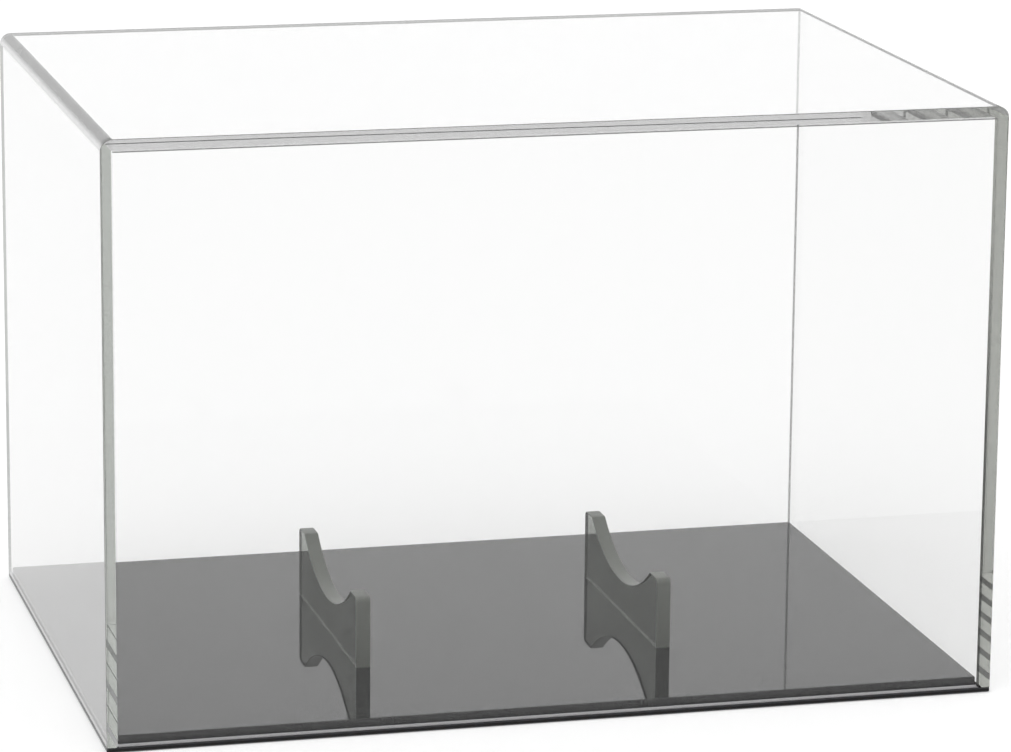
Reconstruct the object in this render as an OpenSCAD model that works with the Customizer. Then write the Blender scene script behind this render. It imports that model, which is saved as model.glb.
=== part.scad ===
// Display case for a football: a cover of five clear acrylic panels stands over a black
// two-step base, which carries the ball on a pair of clear cradle plates.
// X runs along the ball, Y from the front to the back and Z up from the table.
// The origin is the centre of the base plate's underside.

/* [Case] */
// Width over the two side panels, along the ball
case_w = 305; // [295:1:360]
// Depth over the front and back panels
case_d = 216; // [185:1:280]
// Height from the table to the top face
case_h = 203; // [195:1:260]

/* [Cover] */
// Thickness of the clear sheet
sheet_t = 4; // [2:0.1:6]
// Radius rolled over the top edge of each side panel
shoulder_r = 4; // [0.5:0.1:6]
// Width of the break that the polisher leaves on free edges
arris = 0.4; // [0.1:0.05:0.9]
// Width of the lead-in inside the side panels' lower edges, which guides the cover down
lead_in = 1.2; // [0.3:0.1:1.5]

/* [Base] */
// Thickness of the lower plate, which the cover stands on
base_t = 1.6; // [1.5:0.1:8]
// Thickness of the raised platform inside the cover
platform_t = 3.2; // [2:0.1:12]
// Gap all round between the platform and the cover's walls
platform_gap = 0.3; // [0.2:0.05:2]

/* [Ball] */
// Length of the ball that the cradle is cut for, point to point
ball_len = 283; // [270:1:290]
// Diameter of the ball round its middle
ball_d = 171; // [165:1:178]
// Height of the ball's belly over the platform
ball_lift = 9; // [6:0.5:12]

/* [Cradle] */
// Thickness of each cradle plate
cradle_t = 5; // [3:0.1:8]
// Distance between the middles of the two plates
cradle_pitch = 107; // [80:1:140]
// Height of the horns over the platform
horn_h = 25; // [20:0.5:32]
// Flat land on top of each horn
horn_land = 7; // [4:0.5:15]
// Radius of the horns' outer corners
horn_r = 2; // [0.5:0.1:4]
// Radius of the polished lips that the ball bears on
lip_r = 1; // [0.2:0.1:2]
// Air left between the ball and the bottom of the notch
notch_relief = 3.3; // [0.5:0.1:8]

/* [Hidden] */
$fn = 96;

black = [0.05, 0.05, 0.05];
clear = [0.86, 0.90, 0.89, 0.35];
frosted = [0.62, 0.66, 0.64, 0.60];

// Cover: the side panels run the full height and depth, the top panel lies between them
// and runs the full depth, and the front and back panels fill what is left.
inner_w = case_w - 2 * sheet_t;
inner_d = case_d - 2 * sheet_t;
wall_h = case_h - base_t;
face_h = wall_h - sheet_t;
roll_r = min(shoulder_r, sheet_t);

// Base: the platform drops into the cover's mouth.
platform_w = inner_w - 2 * platform_gap;
platform_d = inner_d - 2 * platform_gap;
platform_top = base_t + platform_t;

// Ball: an ellipsoid along X, cut by the cradle plates at half their pitch.
ball_axis = ball_lift + ball_d / 2;
ball_cut_r = ball_d / 2 * sqrt(1 - pow(cradle_pitch / ball_len, 2));

// Lips: circles that touch the ball's cut from below and end level with the horns' tops.
lip_z = horn_h - lip_r;
lip_y = sqrt(pow(ball_cut_r + lip_r, 2) - pow(ball_axis - lip_z, 2));

// Notch: one arc that clears the ball's cut by the relief and runs into both lips.
notch_floor = ball_axis - ball_cut_r - notch_relief;
lip_rise = lip_z - notch_floor;
notch_r = (pow(lip_y, 2) + pow(lip_rise, 2) - pow(lip_r, 2)) / (2 * (lip_rise + lip_r));
cradle_half = lip_y + horn_land + horn_r;

// How far a cutting shape runs past the solid that it cuts
over = 1;

// A square bar laid along an edge, which takes a break of the given width off its corner
module edge_break(axis, at, run, width = arris) {
    side = width * sqrt(2);
    length = run + 2 * over;
    turn = axis == "x" ? [45, 0, 0] : axis == "y" ? [0, 45, 0] : [0, 0, 45];
    size = axis == "x" ? [length, side, side] : axis == "y" ? [side, length, side] : [side, side, length];
    translate(at) rotate(turn) cube(size, center = true);
}

// A flat sheet centred on Z whose four upper edges and four corners are broken
module sheet(w, d, t) {
    difference() {
        translate([-w / 2, -d / 2, 0]) cube([w, d, t]);
        for (side = [-1, 1]) {
            edge_break("x", [0, side * d / 2, t], w);
            edge_break("y", [side * w / 2, 0, t], d);
            for (end = [-1, 1]) edge_break("z", [side * w / 2, end * d / 2, t / 2], t);
        }
    }
}

module base_plate() {
    color(black) difference() {
        sheet(case_w, case_d, base_t);
        for (side = [-1, 1]) {
            edge_break("x", [0, side * case_d / 2, 0], case_w);
            edge_break("y", [side * case_w / 2, 0, 0], case_d);
        }
    }
}

module platform() {
    color(black) translate([0, 0, base_t]) sheet(platform_w, platform_d, platform_t);
}

// The blank of a cradle plate, with its outer corners rounded, seen along X
module cradle_blank() {
    translate([-cradle_half, 0]) square([2 * cradle_half, horn_h - horn_r]);
    translate([horn_r - cradle_half, 0]) square([2 * (cradle_half - horn_r), horn_h]);
    for (side = [-1, 1]) translate([side * (cradle_half - horn_r), horn_h - horn_r]) circle(horn_r);
}

// The sharp corner between the notch and a horn's top, which the lip's arc replaces
module lip_corner() {
    share = notch_r / (notch_r + lip_r);
    touch = [share * lip_y, notch_floor + notch_r + share * (lip_z - notch_floor - notch_r)];
    polygon([[lip_y, lip_z], touch, [touch.x, horn_h + over], [lip_y, horn_h + over]]);
}

module cradle_profile() {
    difference() {
        cradle_blank();
        translate([0, notch_floor + notch_r]) circle(notch_r);
        lip_corner();
        mirror([1, 0]) lip_corner();
    }
    for (side = [-1, 1]) translate([side * lip_y, lip_z]) circle(lip_r);
}

module cradle(side) {
    middle = side * cradle_pitch / 2;
    color(frosted) translate([middle - cradle_t / 2, 0, platform_top])
        rotate([90, 0, 90]) linear_extrude(cradle_t) cradle_profile();
}

module cradle_left() { cradle(-1); }
module cradle_right() { cradle(1); }

// A side panel's end, seen from the front: its outer top corner is rolled over
module side_profile() {
    difference() {
        square([sheet_t, wall_h]);
        translate([sheet_t - roll_r, wall_h - roll_r]) difference() {
            square(roll_r + over);
            circle(roll_r);
        }
    }
}

// The right-hand side panel; the left-hand one is its mirror image
module side_panel() {
    outer = case_w / 2;
    inner = outer - sheet_t;
    color(clear) difference() {
        translate([inner, case_d / 2, base_t])
            rotate([90, 0, 0]) linear_extrude(case_d) side_profile();
        edge_break("y", [outer, 0, base_t], case_d);
        edge_break("y", [inner, 0, base_t], case_d, lead_in);
        for (end = [-1, 1]) {
            edge_break("z", [outer, end * case_d / 2, case_h / 2], case_h);
            edge_break("x", [outer - sheet_t / 2, end * case_d / 2, base_t], sheet_t);
        }
    }
}

module right_panel() { side_panel(); }
module left_panel() { mirror([1, 0, 0]) side_panel(); }

// The back panel; the front one is its mirror image
module face_panel() {
    outer = case_d / 2;
    inner = outer - sheet_t;
    color(clear) difference() {
        translate([-inner_w / 2, inner, base_t]) cube([inner_w, sheet_t, face_h]);
        edge_break("x", [0, outer, base_t], inner_w);
        edge_break("x", [0, inner, base_t], inner_w);
    }
}

module back_panel() { face_panel(); }
module front_panel() { mirror([0, 1, 0]) face_panel(); }

module top_panel() {
    color(clear) difference() {
        translate([-inner_w / 2, -case_d / 2, case_h - sheet_t]) cube([inner_w, case_d, sheet_t]);
        for (end = [-1, 1]) edge_break("x", [0, end * case_d / 2, case_h], inner_w);
    }
}

base_plate();
platform();
cradle_left();
cradle_right();
front_panel();
back_panel();
left_panel();
right_panel();
top_panel();
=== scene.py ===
import bmesh
import bpy
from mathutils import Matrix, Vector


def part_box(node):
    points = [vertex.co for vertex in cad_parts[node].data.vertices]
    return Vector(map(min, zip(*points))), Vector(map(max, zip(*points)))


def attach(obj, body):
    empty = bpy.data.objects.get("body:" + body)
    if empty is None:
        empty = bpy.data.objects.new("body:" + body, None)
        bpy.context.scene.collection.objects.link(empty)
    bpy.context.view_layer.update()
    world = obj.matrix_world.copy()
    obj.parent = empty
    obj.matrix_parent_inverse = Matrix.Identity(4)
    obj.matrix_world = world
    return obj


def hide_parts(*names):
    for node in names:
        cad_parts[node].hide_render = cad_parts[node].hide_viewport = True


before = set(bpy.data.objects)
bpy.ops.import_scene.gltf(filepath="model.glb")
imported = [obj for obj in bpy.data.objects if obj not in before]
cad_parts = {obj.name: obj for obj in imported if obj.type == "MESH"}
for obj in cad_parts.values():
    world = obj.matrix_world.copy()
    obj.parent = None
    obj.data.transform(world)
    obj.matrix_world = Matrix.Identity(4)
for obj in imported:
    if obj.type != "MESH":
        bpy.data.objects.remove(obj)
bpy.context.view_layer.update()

MM = 0.001
ACRYLIC_IOR = 1.49

# The break that a scraper leaves along an edge, and how many flats it is drawn with
ARRIS, ARRIS_STEPS = 0.4 * MM, 2

# How a face is finished, kept as its material slot while a sheet is shaped
FACE, EDGE, BROKEN = 0, 1, 2

# A face looks along an axis when at least this much of its normal does
SQUARE_ON = 0.9

# A sawn face's roughness runs between these shares of its own value
SMOOTHER, ROUGHER = 0.7, 1.4


def linear(colour):
    """An sRGB hex colour as the linear RGBA that Blender's sockets take."""
    parts = [int(colour[i:i + 2], 16) / 255 for i in (1, 3, 5)]
    return [p / 12.92 if p <= 0.04045 else ((p + 0.055) / 1.055) ** 2.4 for p in parts] + [1.0]


def put(tree, kind, inputs=(), **settings):
    """Adds a node with its settings. Each input is a value, or the socket or node that feeds it:
    a node feeds it from its first output, and a socket that takes several has a list of them."""
    node = tree.nodes.new(kind)
    for name, value in settings.items():
        setattr(node, name, value)
    for key, value in dict(inputs).items():
        socket = node.inputs[key]
        for source in value if socket.is_multi_input else [value]:
            if isinstance(source, bpy.types.Node):
                source = source.outputs[0]
            if isinstance(source, bpy.types.NodeSocket):
                tree.links.new(source, socket)
            else:
                socket.default_value = source
    return node


def new_material(name):
    """An empty node material and its tree."""
    material = bpy.data.materials.new(name)
    material.use_nodes = True
    material.node_tree.nodes.clear()
    return material, material.node_tree


def black_mirror_acrylic(name):
    """The cast face: deep black, glass-smooth, with a breath of polishing haze and a few hairs.

    It gives the eye a mirror that is black when looked down on and pale when looked along. Its
    gloss is held under the usual 0.5, because it mirrors a sky that is drawn brighter than white."""
    tint, gloss, haze_size = "#0B0B0C", 0.35, 45 * MM
    hair_gap, hair_width, hair_turn, hair_stretch = 7 * MM, 0.056 * MM, 0.6, 0.03
    material, tree = new_material(name)
    place = put(tree, "ShaderNodeTexCoord").outputs["Object"]
    haze = put(tree, "ShaderNodeTexNoise", {"Vector": place, "Scale": 1 / haze_size, "Detail": 2.0})
    haze_rough = put(tree, "ShaderNodeMapRange", {
        "Value": haze, "From Min": 0.35, "From Max": 0.65, "To Min": 0.01, "To Max": 0.035})
    stretch = put(tree, "ShaderNodeMapping", {
        "Vector": place, "Rotation": (0.0, 0.0, hair_turn), "Scale": (1.0, hair_stretch, 1.0)})
    hairs = put(tree, "ShaderNodeTexVoronoi", {
        "Vector": stretch, "Scale": 1 / hair_gap}, feature="DISTANCE_TO_EDGE")
    hair_rough = put(tree, "ShaderNodeMapRange", {
        "Value": hairs, "From Min": 0.0, "From Max": hair_width / hair_gap,
        "To Min": 0.06, "To Max": 0.0})
    rough = put(tree, "ShaderNodeMath", {0: haze_rough, 1: hair_rough}, operation="ADD")
    shader = put(tree, "ShaderNodeBsdfPrincipled", {
        "Base Color": linear(tint), "Roughness": rough, "IOR": ACRYLIC_IOR, "Specular IOR Level": gloss})
    put(tree, "ShaderNodeOutputMaterial", {"Surface": shader})
    return material


def black_sawn_acrylic(name, tint, roughness, gloss):
    """A sawn edge of black sheet: satin, with the blade's fine upright marks across it.

    The marks are drawn coarser than such a blade leaves them, so that they show."""
    mark_pitch, mark_depth, mark_stretch = 0.6 * MM, 0.01 * MM, 0.05
    material, tree = new_material(name)
    place = put(tree, "ShaderNodeTexCoord").outputs["Object"]
    upright = put(tree, "ShaderNodeMapping", {"Vector": place, "Scale": (1.0, 1.0, mark_stretch)})
    marks = put(tree, "ShaderNodeTexNoise", {"Vector": upright, "Scale": 1 / mark_pitch, "Detail": 2.0})
    relief = put(tree, "ShaderNodeBump", {"Height": marks, "Distance": mark_depth, "Strength": 0.4})
    rough = put(tree, "ShaderNodeMapRange", {
        "Value": marks, "From Min": 0.3, "From Max": 0.7,
        "To Min": roughness * SMOOTHER, "To Max": roughness * ROUGHER})
    shader = put(tree, "ShaderNodeBsdfPrincipled", {
        "Base Color": linear(tint), "Roughness": rough, "IOR": ACRYLIC_IOR,
        "Specular IOR Level": gloss, "Normal": relief})
    put(tree, "ShaderNodeOutputMaterial", {"Surface": shader})
    return material


def prism(outline, low, high, axis):
    """A closed solid: an outline in the two axes that follow `axis`, run along it from low to high."""
    shape = bmesh.new()
    first, second = (axis + 1) % 3, (axis + 2) % 3
    rings = []
    for level in (low, high):
        ring = []
        for u, v in outline:
            place = [0.0, 0.0, 0.0]
            place[axis], place[first], place[second] = level, u, v
            ring.append(shape.verts.new(place))
        rings.append(ring)
    shape.faces.new(rings[0])
    shape.faces.new(rings[1])
    for i in range(len(outline)):
        j = (i + 1) % len(outline)
        shape.faces.new((rings[0][i], rings[0][j], rings[1][j], rings[1][i]))
    bmesh.ops.recalc_face_normals(shape, faces=shape.faces)
    return shape


def slab(low, high):
    """A plain closed box between two corners."""
    outline = [(low[1], low[2]), (high[1], low[2]), (high[1], high[2]), (low[1], high[2])]
    return prism(outline, low[0], high[0], 0)


def break_edges(shape, edges, width, slot=BROKEN):
    """Takes the corner off the given edges; the new faces get a slot of their own."""
    made = bmesh.ops.bevel(shape, geom=list(edges), offset=width, segments=ARRIS_STEPS, profile=0.5,
                           affect="EDGES", clamp_overlap=True)
    for face in made["faces"]:
        face.material_index = slot


def add_piece(name, shape, materials, body, node):
    """Puts a bmesh in the scene at the origin, in place of a node of the frame."""
    mesh = bpy.data.meshes.new(name)
    shape.to_mesh(mesh)
    shape.free()
    for material in materials:
        mesh.materials.append(material)
    piece = bpy.data.objects.new(name, mesh)
    bpy.context.collection.objects.link(piece)
    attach(piece, body)
    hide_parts(node)


black_face = black_mirror_acrylic("black cast acrylic, mirror face")
black_edge = black_sawn_acrylic("black cast acrylic, sawn edge", "#0A0A0B", roughness=0.12, gloss=0.25)
black_scrape = black_sawn_acrylic(
    "black cast acrylic, scraped arris", "#2C2C2E", roughness=0.35, gloss=0.3)

base_shape = slab(*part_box("base_plate"))
for face in base_shape.faces:
    face.material_index = FACE if abs(face.normal.z) > SQUARE_ON else EDGE
break_edges(base_shape, base_shape.edges, ARRIS)
add_piece("base_plate_sheet", base_shape, [black_face, black_edge, black_scrape],
          "base", "base_plate")

# ---------------------------------------------------------------------------------------------
# Platform: the upper black sheet, thicker and smaller all round, so that the cover's walls stand
# beside it. It is cemented flat on the base plate, and its edges are flame-polished.
# ---------------------------------------------------------------------------------------------
platform_low, platform_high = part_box("platform")
platform_shape = slab(platform_low, platform_high)
upper = [e for e in platform_shape.edges if max(v.co.z for v in e.verts) > platform_high[2] - ARRIS]
break_edges(platform_shape, upper, ARRIS, FACE)
add_piece("platform_sheet", platform_shape, [black_face], "base", "platform")

# ---------------------------------------------------------------------------------------------
# Cradle: two plates of smoke-grey acrylic on edge, cemented to the platform. The saw follows the
# curve of the ball's underside, so the ball bears on four polished lips and clears the rest.
# ---------------------------------------------------------------------------------------------
import math

# The ball that the plates are cut for, its height over the platform and the plates' pitch
BALL_LEN, BALL_D, BALL_LIFT = 283 * MM, 171 * MM, 9 * MM
CRADLE_PITCH = 107 * MM

# The horns' outer corners, the lips, and the air between the ball and the notch's bottom
HORN_R, LIP_R, RELIEF = 2 * MM, 1 * MM, 3.3 * MM

# How many steps the notch and each corner are drawn with
NOTCH_STEPS, CORNER_STEPS = 56, 8

# The plates' eased edges, and a film of cement
EASED = 0.25 * MM
SEAM = 0.02 * MM


def smoke_face(name):
    """Polished smoke-grey acrylic with a faint green cast: a dark, clear pane.

    Past the critical angle it mirrors in full, and short of it only by the share `mirror`."""
    tint, mirror, cloud_size = "#B2B5B0", 0.35, 18 * MM
    material, tree = new_material(name)
    place = put(tree, "ShaderNodeTexCoord").outputs["Object"]
    cloud = put(tree, "ShaderNodeTexNoise", {"Vector": place, "Scale": 1 / cloud_size, "Detail": 3.0})
    rough = put(tree, "ShaderNodeMapRange", {
        "Value": cloud, "From Min": 0.35, "From Max": 0.65, "To Min": 0.0, "To Max": 0.03})
    bend = put(tree, "ShaderNodeFresnel", {"IOR": ACRYLIC_IOR})
    share = put(tree, "ShaderNodeMapRange", {
        "Value": bend, "From Min": 0.98, "From Max": 1.0, "To Min": mirror, "To Max": 1.0})
    plain = put(tree, "ShaderNodeBsdfRefraction", {
        "Color": linear(tint), "Roughness": 0.0, "IOR": ACRYLIC_IOR})
    glass = put(tree, "ShaderNodeBsdfPrincipled", {
        "Base Color": linear(tint), "Roughness": rough, "IOR": ACRYLIC_IOR, "Transmission Weight": 1.0})
    pane = put(tree, "ShaderNodeMixShader", {0: share, 1: plain, 2: glass})
    lamp = put(tree, "ShaderNodeBsdfTransparent", {"Color": linear(tint)})
    in_shadow = put(tree, "ShaderNodeLightPath").outputs["Is Shadow Ray"]
    shader = put(tree, "ShaderNodeMixShader", {0: in_shadow, 1: pane, 2: lamp})
    put(tree, "ShaderNodeOutputMaterial", {"Surface": shader})
    return material


def smoke_edge(name):
    """The same acrylic where the saw left it satin: a pale grey-green band that hides the inside.

    The saw's marks are drawn coarser than they are, so that they show."""
    tint, saw_pitch, saw_depth, saw_stretch = "#6C6F69", 0.5 * MM, 0.02 * MM, 0.06
    material, tree = new_material(name)
    place = put(tree, "ShaderNodeTexCoord").outputs["Object"]
    across = put(tree, "ShaderNodeMapping", {"Vector": place, "Scale": (saw_stretch, 1.0, 1.0)})
    marks = put(tree, "ShaderNodeTexNoise", {"Vector": across, "Scale": 1 / saw_pitch, "Detail": 2.0})
    relief = put(tree, "ShaderNodeBump", {"Height": marks, "Distance": saw_depth, "Strength": 0.5})
    rough = put(tree, "ShaderNodeMapRange", {
        "Value": marks, "From Min": 0.3, "From Max": 0.7, "To Min": 0.3, "To Max": 0.5})
    shader = put(tree, "ShaderNodeBsdfPrincipled", {
        "Base Color": linear(tint), "Roughness": rough, "IOR": ACRYLIC_IOR,
        "Transmission Weight": 0.35, "Normal": relief})
    put(tree, "ShaderNodeOutputMaterial", {"Surface": shader})
    return material


def smoke_foot(name):
    """The sawn foot in its bed of cement, which clears the saw's frost in patches: a dark strip."""
    tint, patch_size = "#4C4E4A", 3 * MM
    material, tree = new_material(name)
    place = put(tree, "ShaderNodeTexCoord").outputs["Object"]
    patches = put(tree, "ShaderNodeTexNoise", {"Vector": place, "Scale": 1 / patch_size, "Detail": 2.0})
    rough = put(tree, "ShaderNodeMapRange", {
        "Value": patches, "From Min": 0.35, "From Max": 0.65, "To Min": 0.2, "To Max": 0.4})
    shader = put(tree, "ShaderNodeBsdfPrincipled", {
        "Base Color": linear(tint), "Roughness": rough, "IOR": ACRYLIC_IOR, "Transmission Weight": 0.5})
    put(tree, "ShaderNodeOutputMaterial", {"Surface": shader})
    return material


def cradle_tree(face, edge, foot):
    """Geometry nodes that draw a cradle plate from its sizes.

    The profile lies in X and Y: a circle's arc hangs from the top line, a square frame closes it
    below, and fillets round the lips and the horns. It is filled, given its thickness and turned."""
    # points of the frame, and how near points lie that become one: in the outline, and in the solid
    frame_points, weld, stitch = 6, 0.01 * MM, 0.001 * MM
    tree = bpy.data.node_groups.new("cradle plate", "GeometryNodeTree")
    tree.interface.new_socket("Geometry", in_out="OUTPUT", socket_type="NodeSocketGeometry")
    for name in ("Width", "Height", "Thickness",
                 "Notch radius", "Notch floor", "Lip radius", "Horn radius"):
        tree.interface.new_socket(name, in_out="INPUT", socket_type="NodeSocketFloat")
    tree.interface.new_socket("Place", in_out="INPUT", socket_type="NodeSocketVector")
    given = put(tree, "NodeGroupInput").outputs

    # the arc, out to where it meets the top line
    centre_z = put(tree, "ShaderNodeMath", {
        0: given["Notch floor"], 1: given["Notch radius"]}, operation="ADD")
    drop = put(tree, "ShaderNodeMath", {0: centre_z, 1: given["Height"]}, operation="SUBTRACT")
    share = put(tree, "ShaderNodeMath", {0: drop, 1: given["Notch radius"]}, operation="DIVIDE")
    spread = put(tree, "ShaderNodeMath", {0: share}, operation="ARCCOSINE")
    start = put(tree, "ShaderNodeMath", {0: -math.pi / 2, 1: spread}, operation="SUBTRACT")
    sweep = put(tree, "ShaderNodeMath", {0: spread, 1: 2.0}, operation="MULTIPLY")
    arc = put(tree, "GeometryNodeCurveArc", {
        "Resolution": NOTCH_STEPS, "Radius": given["Notch radius"],
        "Start Angle": start, "Sweep Angle": sweep})
    centre = put(tree, "ShaderNodeCombineXYZ", {"Y": centre_z})
    hung = put(tree, "GeometryNodeTransform", {"Geometry": arc, "Translation": centre})

    # the rest of the outline: from the arc's end over the horn, down, along the foot and back up
    half = put(tree, "ShaderNodeMath", {0: given["Width"], 1: 2.0}, operation="DIVIDE")
    sine = put(tree, "ShaderNodeMath", {0: spread}, operation="SINE")
    reach = put(tree, "ShaderNodeMath", {0: given["Notch radius"], 1: sine}, operation="MULTIPLY")
    line = put(tree, "GeometryNodeMeshLine", {"Count": frame_points}, mode="OFFSET")
    index = put(tree, "GeometryNodeInputIndex")
    order = put(tree, "ShaderNodeMath", {0: index, 1: (frame_points - 1) / 2}, operation="SUBTRACT")
    hand = put(tree, "ShaderNodeMath", {0: order}, operation="SIGN")
    outward = put(tree, "ShaderNodeMath", {0: order}, operation="ABSOLUTE")
    is_high = put(tree, "ShaderNodeMath", {0: outward, 1: 1.0}, operation="GREATER_THAN")
    is_end = put(tree, "ShaderNodeMath", {0: outward, 1: 2.0}, operation="GREATER_THAN")
    level = put(tree, "ShaderNodeMath", {0: given["Height"], 1: is_high}, operation="MULTIPLY")
    away = put(tree, "ShaderNodeMix", {"Factor": is_end, "A": half, "B": reach}, data_type="FLOAT")
    across = put(tree, "ShaderNodeMath", {0: away, 1: hand}, operation="MULTIPLY")
    corner = put(tree, "ShaderNodeCombineXYZ", {"X": across, "Y": level})
    frame_line = put(tree, "GeometryNodeSetPosition", {"Geometry": line, "Position": corner})

    # one closed outline, with its corners rounded: lips beside the notch, horns at the sides
    arc_line = put(tree, "GeometryNodeCurveToMesh", {"Curve": hung})
    loop = put(tree, "GeometryNodeJoinGeometry", {"Geometry": [arc_line, frame_line]})
    welded = put(tree, "GeometryNodeMergeByDistance", {"Geometry": loop, "Distance": weld})
    outline = put(tree, "GeometryNodeMeshToCurve", {"Mesh": welded})
    position = put(tree, "GeometryNodeInputPosition")
    spot = put(tree, "ShaderNodeSeparateXYZ", {"Vector": position}).outputs
    under_top = put(tree, "ShaderNodeMath", {0: given["Height"], 1: weld}, operation="SUBTRACT")
    at_top = put(tree, "ShaderNodeMath", {0: spot["Y"], 1: under_top}, operation="GREATER_THAN")
    aside = put(tree, "ShaderNodeMath", {0: spot["X"]}, operation="ABSOLUTE")
    inside_half = put(tree, "ShaderNodeMath", {0: half, 1: weld}, operation="SUBTRACT")
    at_side = put(tree, "ShaderNodeMath", {0: aside, 1: inside_half}, operation="GREATER_THAN")
    corner_r = put(tree, "ShaderNodeMix", {
        "Factor": at_side, "A": given["Lip radius"], "B": given["Horn radius"]}, data_type="FLOAT")
    radius = put(tree, "ShaderNodeMath", {0: corner_r, 1: at_top}, operation="MULTIPLY")
    rounded = put(tree, "GeometryNodeFilletCurve", {
        "Curve": outline, "Count": CORNER_STEPS, "Radius": radius}, mode="POLY")

    # the solid: the filled outline, its copy one thickness on, and the walls between them
    filled = put(tree, "GeometryNodeFillCurve", {"Curve": rounded}, mode="NGONS")
    raised = put(tree, "GeometryNodeExtrudeMesh", {
        "Mesh": filled, "Offset Scale": given["Thickness"], "Individual": False})
    lower = put(tree, "GeometryNodeFlipFaces", {"Mesh": filled})
    solid = put(tree, "GeometryNodeJoinGeometry", {"Geometry": [raised, lower]})
    closed = put(tree, "GeometryNodeMergeByDistance", {"Geometry": solid, "Distance": stitch})
    placed = put(tree, "GeometryNodeTransform", {
        "Geometry": closed, "Translation": given["Place"], "Rotation": (math.pi / 2, 0.0, math.pi / 2)})

    # its materials: the sawn edge all round, the two broad faces and the foot
    real = put(tree, "GeometryNodeRealizeInstances", {"Geometry": placed})
    normal = put(tree, "GeometryNodeInputNormal")
    slope = put(tree, "ShaderNodeSeparateXYZ", {"Vector": normal}).outputs
    sideways = put(tree, "ShaderNodeMath", {0: slope["X"]}, operation="ABSOLUTE")
    is_broad = put(tree, "ShaderNodeMath", {0: sideways, 1: SQUARE_ON}, operation="GREATER_THAN")
    is_foot = put(tree, "ShaderNodeMath", {0: slope["Z"], 1: -SQUARE_ON}, operation="LESS_THAN")
    edged = put(tree, "GeometryNodeSetMaterial", {"Geometry": real, "Material": edge})
    faced = put(tree, "GeometryNodeSetMaterial", {
        "Geometry": edged, "Selection": is_broad, "Material": face})
    footed = put(tree, "GeometryNodeSetMaterial", {
        "Geometry": faced, "Selection": is_foot, "Material": foot})
    put(tree, "NodeGroupOutput", {"Geometry": footed})
    return tree


def from_nodes(name, tree, values):
    """Runs a geometry tree with the given named inputs and keeps its result as a plain mesh."""
    maker = bpy.data.objects.new(name, bpy.data.meshes.new(name + " start"))
    bpy.context.collection.objects.link(maker)
    modifier = maker.modifiers.new("nodes", "NODES")
    modifier.node_group = tree
    for socket in tree.interface.items_tree:
        if socket.in_out == "INPUT" and socket.name in values:
            modifier[socket.identifier] = values[socket.name]
    depsgraph = bpy.context.evaluated_depsgraph_get()
    made = bpy.data.meshes.new_from_object(maker.evaluated_get(depsgraph), depsgraph=depsgraph)
    maker.modifiers.remove(modifier)

    # the first Set Material node leaves an empty slot before its own
    if made.materials[0] is None:
        made.materials.pop(index=0)
    maker.data = made
    made.name = name
    return maker


smoke_pane = smoke_face("smoke-grey cast acrylic, polished face")
smoke_rim = smoke_edge("smoke-grey cast acrylic, satin sawn edge")
smoke_base = smoke_foot("smoke-grey cast acrylic, cemented foot")
plate_nodes = cradle_tree(smoke_pane, smoke_rim, smoke_base)

for node in ("cradle_left", "cradle_right"):
    low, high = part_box(node)
    horn_h = high[2] - low[2]

    # the ball's cut at the plates' pitch sets where the lips touch it and how the notch clears it
    ball_axis = BALL_LIFT + BALL_D / 2
    ball_cut_r = BALL_D / 2 * math.sqrt(1 - (CRADLE_PITCH / BALL_LEN) ** 2)
    lip_z = horn_h - LIP_R
    lip_y = math.sqrt((ball_cut_r + LIP_R) ** 2 - (ball_axis - lip_z) ** 2)
    notch_floor = ball_axis - ball_cut_r - RELIEF
    lip_rise = lip_z - notch_floor
    notch_r = (lip_y ** 2 + lip_rise ** 2 - LIP_R ** 2) / (2 * (lip_rise + LIP_R))
    plate = from_nodes(node + "_plate", plate_nodes, {
        "Width": high[1] - low[1], "Height": horn_h - SEAM, "Thickness": high[0] - low[0],
        "Notch radius": notch_r, "Notch floor": notch_floor,
        "Lip radius": LIP_R, "Horn radius": HORN_R, "Place": (low[0], 0.0, low[2] + SEAM)})

    # the long edges round both broad faces are eased, apart from those of the foot
    shape = bmesh.new()
    shape.from_mesh(plate.data)
    rim = []
    for edge in shape.edges:
        is_sharp = edge.is_manifold and edge.calc_face_angle() > math.radians(60)
        bounds_face = abs(edge.verts[0].co.x - edge.verts[1].co.x) < EASED
        is_above_foot = max(v.co.z for v in edge.verts) > low[2] + EASED
        if is_sharp and bounds_face and is_above_foot:
            rim.append(edge)
    break_edges(shape, rim, EASED, plate.data.materials.find(smoke_rim.name))
    shape.to_mesh(plate.data)
    shape.free()
    plate.data.shade_smooth()
    plate.data.set_sharp_from_angle(angle=math.radians(20))
    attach(plate, "base")
    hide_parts(node)

# ---------------------------------------------------------------------------------------------
# Cover, side walls: two panels of clear cast acrylic that run the full height and depth. Their
# outer top edges are rolled over and polished, and the other panels are cemented between them.
# ---------------------------------------------------------------------------------------------
from mathutils import Vector

SHEET_T = 4 * MM
SHOULDER_R, SHOULDER_STEPS = 4 * MM, 24

# The finer break of an edge that was buffed, or only touched with the scraper
FINE_ARRIS = 0.15 * MM

# Closer than this counts as touching
NEAR = 0.001 * MM

# The clear sheet's further finishes: an outer face, a sawn rim, the rolled shoulder, and cement
# that wetted the joint well, a little less, poorly and badly
OUTER, SAWN, SHOULDER, WET_JOINT, LEAN_JOINT, THIN_JOINT, DRY_JOINT = 3, 4, 5, 6, 7, 8, 9


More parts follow.
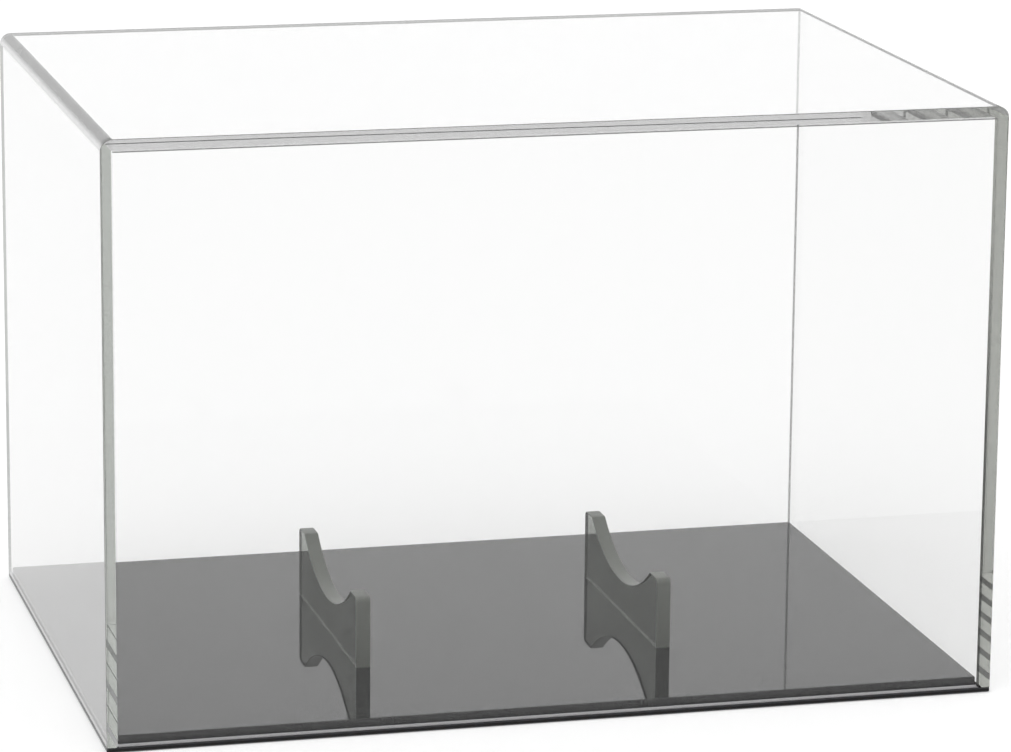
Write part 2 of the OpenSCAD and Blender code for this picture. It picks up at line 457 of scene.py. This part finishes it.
def clear_acrylic(name, body_tint, body_density, glancing):
    """Clear cast acrylic: glass to the eye, with a grey-green body seen along the sheet.

    Past the critical angle it mirrors in full. Short of it, a coat holds back the mirror on the
    inner faces and from within, while outsides and edges stay bare. Handling leaves a film on the
    outside, which lets less light in at a glance. Sawn rims are frosted, and arrises greyer.
    Each face carries its finish as an attribute, so that the whole sheet stays one body."""
    # the share of the mirror that the coat leaves, and of the light that a clean face lets in
    coat_mirror, clean = 0.2, 0.974
    # the height over which the worst joint goes from darker to clearer, and the size of the cement's dry
    # flecks
    clearing_from, clearing_to, fleck_size = 90 * MM, 160 * MM, 1.3 * MM
    # the size of the frost's tooth, and how much of it lets light through
    tooth_size, frost_clear = 0.7 * MM, 0.15
    material, tree = new_material(name)
    place = put(tree, "ShaderNodeTexCoord").outputs["Object"]
    surface = put(tree, "ShaderNodeNewGeometry").outputs
    finish = put(tree, "ShaderNodeAttribute", attribute_name="finish").outputs["Fac"]
    has = {}
    for kind in (EDGE, BROKEN, OUTER, SAWN, SHOULDER, WET_JOINT, LEAN_JOINT, THIN_JOINT, DRY_JOINT):
        has[kind] = put(tree, "ShaderNodeMath", {0: finish, 1: kind, 2: 0.1}, operation="COMPARE")

    # the mirror: in full on a bare surface, and cut to the coat's share on a coated one
    bend = put(tree, "ShaderNodeFresnel", {"IOR": ACRYLIC_IOR})
    coated = put(tree, "ShaderNodeMapRange", {
        "Value": bend, "From Min": 0.98, "From Max": 1.0, "To Min": coat_mirror, "To Max": 1.0})
    outside = put(tree, "ShaderNodeMix", {
        "Factor": surface["Backfacing"], "A": 1.0, "B": coated}, data_type="FLOAT")
    broad = put(tree, "ShaderNodeMix", {
        "Factor": has[OUTER], "A": coated, "B": outside}, data_type="FLOAT")
    share = put(tree, "ShaderNodeMix", {"Factor": has[EDGE], "A": broad, "B": 1.0}, data_type="FLOAT")

    # the light let in: nearly all, but less at a glance where hands have been
    handled = put(tree, "ShaderNodeMapRange", {
        "Value": bend, "From Min": 0.1, "From Max": 0.25, "To Min": clean, "To Max": glancing})
    entered = put(tree, "ShaderNodeMix", {
        "Factor": surface["Backfacing"], "A": handled, "B": clean}, data_type="FLOAT")
    film = put(tree, "ShaderNodeMix", {"Factor": has[OUTER], "A": clean, "B": entered}, data_type="FLOAT")
    let_in = put(tree, "ShaderNodeCombineColor", {"Red": film, "Green": film, "Blue": film})

    # the pane: straight refraction, with as much of the mirror as its surface leaves
    plain = put(tree, "ShaderNodeBsdfRefraction", {"Color": let_in, "Roughness": 0.0, "IOR": ACRYLIC_IOR})
    glass = put(tree, "ShaderNodeBsdfPrincipled", {
        "Base Color": let_in, "Roughness": 0.0, "IOR": ACRYLIC_IOR, "Transmission Weight": 1.0})
    sheet = put(tree, "ShaderNodeMixShader", {0: share, 1: plain, 2: glass})

    # the film of set solvent cement: clear when looked through, greyer when looked along, and
    # darker with pale dry flecks where the sheets were badly wetted; the worst joint is drawn darker
    # towards its bottom
    height = put(tree, "ShaderNodeSeparateXYZ", {"Vector": place}).outputs["Z"]
    clearer_higher = put(tree, "ShaderNodeMapRange", {
        "Value": height, "From Min": clearing_from, "From Max": clearing_to, "To Min": 0.0, "To Max": 0.45})
    slant = put(tree, "ShaderNodeLayerWeight", {"Blend": 0.5}).outputs["Facing"]
    flecks = put(tree, "ShaderNodeTexNoise", {"Vector": place, "Scale": 1 / fleck_size, "Detail": 3.0})
    dry = put(tree, "ShaderNodeMapRange", {
        "Value": flecks, "From Min": 0.55, "From Max": 0.75, "To Min": 0.0, "To Max": 0.25})
    for kind, through, along in ((WET_JOINT, 0.97, 0.94), (LEAN_JOINT, 0.95, 0.78),
                                 (THIN_JOINT, 0.93, 0.62), (DRY_JOINT, 0.9, 0.42)):
        grey = put(tree, "ShaderNodeMapRange", {
            "Value": slant, "From Min": 0.45, "From Max": 0.8, "To Min": through, "To Max": along})
        if kind == DRY_JOINT:
            grey = put(tree, "ShaderNodeMath", {0: grey, 1: clearer_higher}, operation="ADD", use_clamp=True)
        clear = put(tree, "ShaderNodeMath", {0: grey, 1: dry}, operation="ADD", use_clamp=True)
        colour = put(tree, "ShaderNodeCombineColor", {"Red": clear, "Green": clear, "Blue": clear})
        cement = put(tree, "ShaderNodeBsdfTransparent", {"Color": colour})
        sheet = put(tree, "ShaderNodeMixShader", {0: has[kind], 1: sheet, 2: cement})

    # where a tool has been: the saw's frost on the rims and the scraper's on the arrises, with a
    # tooth drawn coarser than it is, so that it shows
    tooth = put(tree, "ShaderNodeTexNoise", {"Vector": place, "Scale": 1 / tooth_size, "Detail": 3.0})
    for kind, tint, rough in ((SAWN, "#B8B8BA", 0.4), (BROKEN, "#707070", 0.35)):
        grain = put(tree, "ShaderNodeMapRange", {
            "Value": tooth, "From Min": 0.3, "From Max": 0.7,
            "To Min": rough * SMOOTHER, "To Max": rough * ROUGHER})
        frost = put(tree, "ShaderNodeBsdfPrincipled", {
            "Base Color": linear(tint), "Roughness": grain, "IOR": ACRYLIC_IOR,
            "Transmission Weight": frost_clear})
        sheet = put(tree, "ShaderNodeMixShader", {0: has[kind], 1: sheet, 2: frost})

    # the rolled shoulder: buffed, with a white haze that the wheel left, painted thickest on its side as
    # a broad painted highlight
    slope = put(tree, "ShaderNodeSeparateXYZ", {"Vector": surface["True Normal"]}).outputs["Z"]
    upward = put(tree, "ShaderNodeMath", {0: slope}, operation="ABSOLUTE")
    painted_highlight_share = put(tree, "ShaderNodeMapRange", {
        "Value": upward, "From Min": 0.35, "From Max": 0.7, "To Min": 0.75, "To Max": 0.2})
    uneven = put(tree, "ShaderNodeMapRange", {
        "Value": tooth, "From Min": 0.35, "From Max": 0.65, "To Min": -0.1, "To Max": 0.1})
    haze_and_highlight = put(tree, "ShaderNodeMath", {0: painted_highlight_share, 1: uneven}, operation="ADD")
    soft = put(tree, "ShaderNodeBsdfPrincipled", {
        "Base Color": linear("#FCFCFC"), "Roughness": 0.12, "IOR": ACRYLIC_IOR,
        "Transmission Weight": 1.0})
    # the white that stands for the wheel's haze and for the painted highlight on the shoulder's side
    haze = put(tree, "ShaderNodeBsdfDiffuse", {"Color": linear("#F4F4F4")})
    rolled = put(tree, "ShaderNodeMixShader", {0: haze_and_highlight, 1: soft, 2: haze})
    sheet = put(tree, "ShaderNodeMixShader", {0: has[SHOULDER], 1: sheet, 2: rolled})

    # a lamp shines straight through the surface, and the body greys what runs along the sheet
    lamp = put(tree, "ShaderNodeBsdfTransparent", {"Color": linear("#FCFCFC")})
    in_shadow = put(tree, "ShaderNodeLightPath").outputs["Is Shadow Ray"]
    skin = put(tree, "ShaderNodeMixShader", {0: in_shadow, 1: sheet, 2: lamp})
    body = put(tree, "ShaderNodeVolumeAbsorption", {"Color": linear(body_tint), "Density": body_density})
    put(tree, "ShaderNodeOutputMaterial", {"Surface": skin, "Volume": body})
    return material


wall_sheet = clear_acrylic("clear cast acrylic, walls", "#D5D7D4", body_density=11.9, glancing=0.81)
# the right wall's copy of the same acrylic absorbs more along the sheet, so that its end shows darker:
# painted shade
shaded_right_sheet = clear_acrylic("clear cast acrylic, right wall", "#D6D7D4", body_density=14.4, glancing=0.81)


def shoulder(middle, side):
    """Points of a side panel's rolled edge in the (Z, X) plane, from its outer face to its top."""
    points = []
    for i in range(SHOULDER_STEPS + 1):
        rise = math.radians(90 * i / SHOULDER_STEPS)
        up, across = math.sin(rise), side * math.cos(rise)
        points.append((middle[0] + SHOULDER_R * up, middle[1] + SHOULDER_R * across))
    return points


def cut_at(shape, axis, level):
    """Scores a closed mesh's faces along a plane across an axis."""
    where, normal = Vector(), Vector()
    where[axis], normal[axis] = level, 1.0
    bmesh.ops.bisect_plane(shape, geom=shape.verts[:] + shape.edges[:] + shape.faces[:], dist=NEAR,
                           plane_co=where, plane_no=normal)


def shave(shape, corner, outward, width, slot=BROKEN):
    """Planes a corner off a convex sheet, square to `outward`; the new face gets its own slot."""
    outward = Vector(outward).normalized()
    cut = bmesh.ops.bisect_plane(
        shape, geom=shape.verts[:] + shape.edges[:] + shape.faces[:], dist=NEAR, clear_outer=True,
        plane_co=Vector(corner) - outward * width / math.sqrt(2), plane_no=outward)
    rim = [e for e in cut["geom_cut"] if isinstance(e, bmesh.types.BMEdge)]
    for face in bmesh.ops.contextual_create(shape, geom=rim)["faces"]:
        face.material_index = slot
    bmesh.ops.recalc_face_normals(shape, faces=shape.faces)


def add_panel(name, shape, node, material=wall_sheet):
    """Puts a cover panel in the scene. Its faces' slots become the attribute that the sheet reads,
    and all of it but the rolled shoulder is shaded flat."""
    finish = shape.faces.layers.float.new("finish")
    for face in shape.faces:
        face.smooth = face.material_index == SHOULDER
        face[finish], face.material_index = face.material_index, 0
    add_piece(name, shape, [material], "cover", node)


# The left panel's lead-in is narrower and only sawn, and the scraper has touched its foot, its
# front edge and its shoulder. On the right the lead-in is scraped and the outer edges are
# polished, as they are at the back of both panels.
for node, side, lead_in, lead_slot, front_slot in (("left_panel", -1, 0.8 * MM, SAWN, BROKEN),
                                                   ("right_panel", 1, 1.2 * MM, BROKEN, EDGE)):
    low, high = (Vector(v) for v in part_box(node))
    low.z += SEAM
    outer, inner = (low.x, high.x) if side < 0 else (high.x, low.x)
    middle = (high.z - SHOULDER_R, outer - side * SHOULDER_R)
    shape = prism([(low.z, inner), (low.z, outer)] + shoulder(middle, side), low.y, high.y, 1)
    shave(shape, (outer, 0, low.z), (side, 0, -1), FINE_ARRIS, front_slot)
    shave(shape, (inner, 0, low.z), (-side, 0, -1), lead_in, lead_slot)
    for end, slot in ((-1, front_slot), (1, EDGE)):
        if side < 0:
            for i in range(SHOULDER_STEPS):
                turn = math.radians(90 * (i + 0.5) / SHOULDER_STEPS)
                across, up = side * math.sin(turn), math.cos(turn)
                brow = (middle[1] + SHOULDER_R * across, end * high.y, middle[0] + SHOULDER_R * up)
                shave(shape, brow, (across, end, up), FINE_ARRIS, slot)
        shave(shape, (outer, end * high.y, 0), (side, end, 0), FINE_ARRIS, slot)
        shave(shape, (outer, end * high.y, low.z), (0, end, -1), FINE_ARRIS, EDGE)
        cut_at(shape, 1, end * (high.y - SHEET_T))
    cut_at(shape, 2, high.z - SHEET_T)

    # the inner face is cemented along its top and its ends. The first flat of the rolled edge,
    # less than two degrees round, still counts as the outer face.
    for face in shape.faces:
        if face.material_index != FACE:
            continue
        centre = face.calc_center_median()
        if abs(centre.x - inner) < NEAR:
            if centre.z > high.z - SHEET_T or (side < 0 and abs(centre.y) > high.y - SHEET_T):
                face.material_index = WET_JOINT
            elif abs(centre.y) > high.y - SHEET_T:
                face.material_index = DRY_JOINT if centre.y < 0 else THIN_JOINT
        elif abs(face.normal.x) > math.cos(math.radians(2)):
            face.material_index = OUTER
        elif abs(face.normal.y) > SQUARE_ON or face.normal.z < -SQUARE_ON:
            face.material_index = EDGE
        else:
            face.material_index = SHOULDER
    add_panel(node + "_sheet", shape, node, wall_sheet if side < 0 else shaded_right_sheet)

# ---------------------------------------------------------------------------------------------
# Cover, front and back walls: clear panels cemented between the side walls, under the top.
# Their sawn lower rims are left frosted, and show as a pale band round the foot of the cover.
# ---------------------------------------------------------------------------------------------
UPPER_ARRIS = 0.3 * MM

for node, side in (("front_panel", -1), ("back_panel", 1)):
    low, high = (Vector(v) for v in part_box(node))
    low += Vector((SEAM, 0, SEAM))
    high -= Vector((SEAM, 0, SEAM))
    outer, inner = (low.y, high.y) if side < 0 else (high.y, low.y)
    shape = slab(low, high)
    for wall, way in ((outer, side), (inner, -side)):
        shave(shape, (0, wall, low.z), (0, way, -1), ARRIS, SAWN)
    shave(shape, (0, outer, high.z), (0, side, 1), UPPER_ARRIS)

    # cement holds the two ends and the top, and wetted the front panel's right-hand end worst
    for face in shape.faces:
        if face.material_index != FACE:
            continue
        if face.normal.x > SQUARE_ON:
            face.material_index = DRY_JOINT if side < 0 else THIN_JOINT
        elif face.normal.z > SQUARE_ON and side < 0:
            face.material_index = LEAN_JOINT
        elif face.normal.x < -SQUARE_ON or face.normal.z > SQUARE_ON:
            face.material_index = WET_JOINT
        elif abs(face.normal.y) > SQUARE_ON:
            face.material_index = OUTER if face.normal.y * side > 0 else FACE
        else:
            face.material_index = SAWN
    add_panel(node + "_sheet", shape, node)

# ---------------------------------------------------------------------------------------------
# Cover, top: a clear panel cemented between the side walls and down on the front and back
# walls. Its front and back ends stay open to view as polished bands.
# ---------------------------------------------------------------------------------------------
low, high = (Vector(v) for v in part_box("top_panel"))
low.x += SEAM
high.x -= SEAM
shape = slab(low, high)

# The scraper only touches the front end's upper edge, and breaks the back end's in full
for end, width in ((-1, FINE_ARRIS), (1, ARRIS)):
    shave(shape, (0, end * high.y, high.z), (0, end, 1), width)
    cut_at(shape, 1, end * (high.y - SHEET_T))
for face in shape.faces:
    if face.material_index == BROKEN:
        continue
    centre = face.calc_center_median()
    if abs(face.normal.x) > SQUARE_ON:
        face.material_index = WET_JOINT
    elif face.normal.z < -SQUARE_ON and abs(centre.y) > high.y - SHEET_T:
        face.material_index = LEAN_JOINT if centre.y < 0 else WET_JOINT
    elif abs(face.normal.z) > SQUARE_ON:
        face.material_index = OUTER if face.normal.z > 0 else FACE
    else:
        face.material_index = EDGE
top_sheet = clear_acrylic("clear cast acrylic, top", "#D6D6D6", body_density=8.2, glancing=0.85)
add_panel("top_panel_sheet", shape, "top_panel", top_sheet)

# ---------------------------------------------------------------------------------------------
# Table and studio: a sweep of white paper under a white sky, one broad soft sun from the front
# left, and a long lens that looks a little down on the case from the left.
# ---------------------------------------------------------------------------------------------
from mathutils import Quaternion


def seen_through(tree):
    """1 on rays that show the background: straight, mirrored or through the clear sheet."""
    path = put(tree, "ShaderNodeLightPath").outputs
    seen = put(tree, "ShaderNodeMath", {
        0: path["Is Camera Ray"], 1: path["Is Glossy Ray"]}, operation="MAXIMUM")
    return put(tree, "ShaderNodeMath", {0: seen, 1: path["Is Transmission Ray"]}, operation="MAXIMUM")


paper_white, paper_glow = "#EFEFEF", 0.2
floor_material, tree = new_material("white paper sweep")
paper = put(tree, "ShaderNodeBsdfDiffuse", {"Color": linear(paper_white)})
strength = put(tree, "ShaderNodeMath", {0: seen_through(tree), 1: paper_glow}, operation="MULTIPLY")
glow = put(tree, "ShaderNodeEmission", {"Strength": strength})
both = put(tree, "ShaderNodeAddShader", {0: paper, 1: glow})
put(tree, "ShaderNodeOutputMaterial", {"Surface": both})

floor_half, floor_drop = 6.0, 0.2 * MM
corners = [(x * floor_half, y * floor_half, -floor_drop)
           for x, y in ((-1, -1), (1, -1), (1, 1), (-1, 1))]
floor_mesh = bpy.data.meshes.new("floor")
floor_mesh.from_pydata(corners, [], [(0, 1, 2, 3)])
floor_mesh.materials.append(floor_material)
floor = bpy.data.objects.new("floor", floor_mesh)
bpy.context.collection.objects.link(floor)

# The sky lights the case plainly, and shows a little over white
sky_light, sky_shown = 0.65, 1.1
world = bpy.data.worlds.new("white studio")
world.use_nodes = True
tree = world.node_tree
tree.nodes.clear()
strength = put(tree, "ShaderNodeMapRange", {
    "Value": seen_through(tree), "To Min": sky_light, "To Max": sky_shown})
sky = put(tree, "ShaderNodeBackground", {"Color": linear("#FFFFFF"), "Strength": strength})
put(tree, "ShaderNodeOutputWorld", {"Surface": sky})

# An even sky needs no map of its bright parts
world.cycles.sampling_method = "NONE"
bpy.context.scene.world = world

sun_strength, sun_width, sun_way = 1.45, math.radians(40), Vector((0.5, 0.45, -1.0))
key = bpy.data.lights.new("key", "SUN")
key.energy, key.angle = sun_strength, sun_width
key_lamp = bpy.data.objects.new("key", key)
key_lamp.rotation_euler = sun_way.to_track_quat("-Z", "Y").to_euler()

# The sheets show the sky and not the sun
key_lamp.visible_glossy = False
key_lamp.visible_transmission = False
bpy.context.collection.objects.link(key_lamp)

lens, sensor = 165.1, 36.0
stand = Vector((-389.7, -1535.5, 469.9)) * MM
azimuth, elevation, roll = math.radians(14.54), math.radians(13.36), math.radians(0.51)
forward = Vector((math.sin(azimuth) * math.cos(elevation), math.cos(azimuth) * math.cos(elevation),
                  -math.sin(elevation)))
camera_data = bpy.data.cameras.new("camera")
camera_data.lens, camera_data.sensor_width = lens, sensor
camera_data.clip_start, camera_data.clip_end = 0.05, 30.0
camera = bpy.data.objects.new("camera", camera_data)
camera.location = stand
camera.rotation_mode = "QUATERNION"
camera.rotation_quaternion = forward.to_track_quat("-Z", "Y") @ Quaternion((0.0, 0.0, 1.0), roll)
bpy.context.collection.objects.link(camera)

scene = bpy.context.scene
scene.camera = camera
scene.view_settings.view_transform = "Standard"

# Light zigzags many times along a clear sheet, and a path that is cut short shows as black
bounces = 160
scene.cycles.max_bounces = bounces
scene.cycles.transmission_bounces = bounces
scene.cycles.glossy_bounces = bounces
scene.cycles.transparent_max_bounces = bounces

# The denoiser clears this pattern's grain without leaving streaks
scene.cycles.sampling_pattern = "TABULATED_SOBOL"
scene.cycles.use_denoising = True
